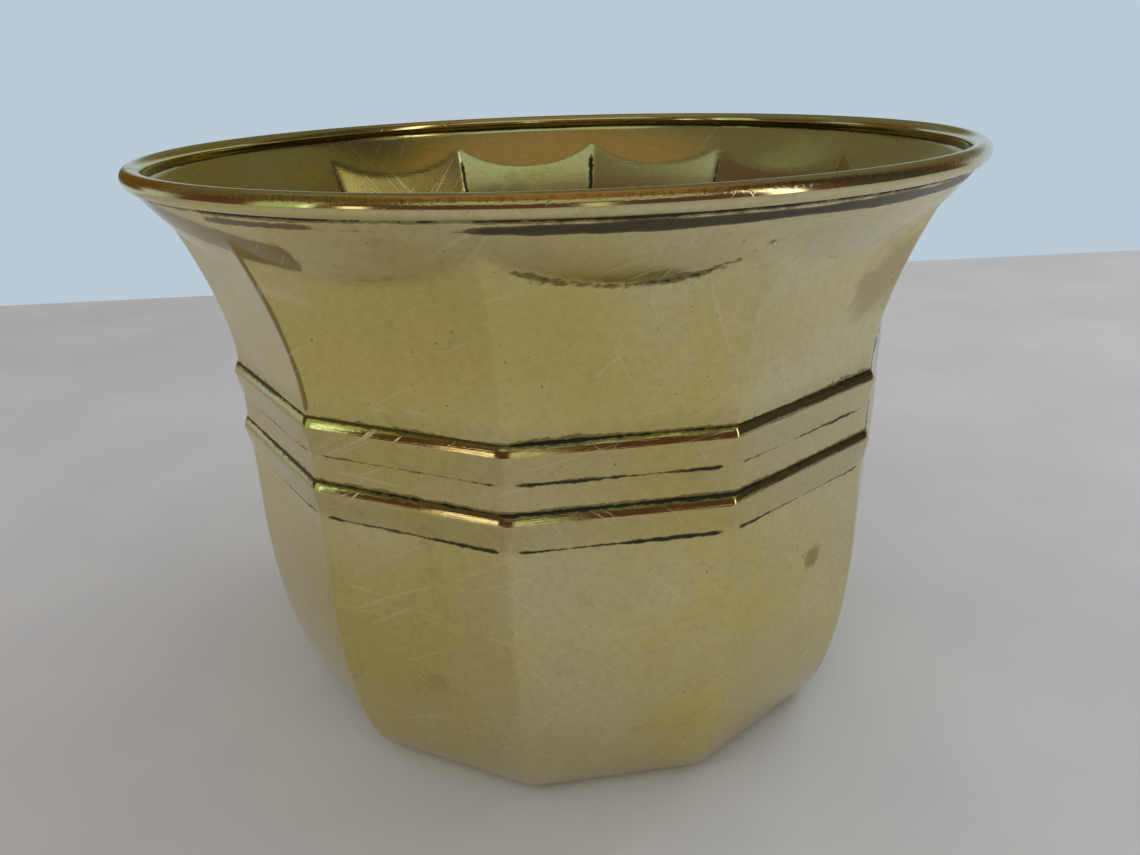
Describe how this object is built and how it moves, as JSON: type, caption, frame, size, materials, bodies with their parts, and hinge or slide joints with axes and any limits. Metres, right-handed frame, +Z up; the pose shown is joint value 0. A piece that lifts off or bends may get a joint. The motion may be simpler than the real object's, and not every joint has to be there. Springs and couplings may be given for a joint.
{
  "type": "brass planter pot",
  "caption": "Brass planter pot with faceted sides, two pressed ribs, a flared mouth, a rolled and wired rim, and a flat foot.",
  "frame": {"origin": "on the pot's axis, in the plane that the foot stands on", "axes": "+Z up along the pot's axis; one facet is centred on each of +X, -X, +Y and -Y; the front is -Y"},
  "size_m": [0.21, 0.21, 0.15],
  "materials": {
    "brass": "polished yellow brass with light tarnish, polish residue in the creases and fine scratches",
    "wire": "drawn steel wire, dull"
  },
  "bodies": {
    "root": {"pot_shell": "brass", "rim_wire": "wire"}
  },
  "joints": []
}
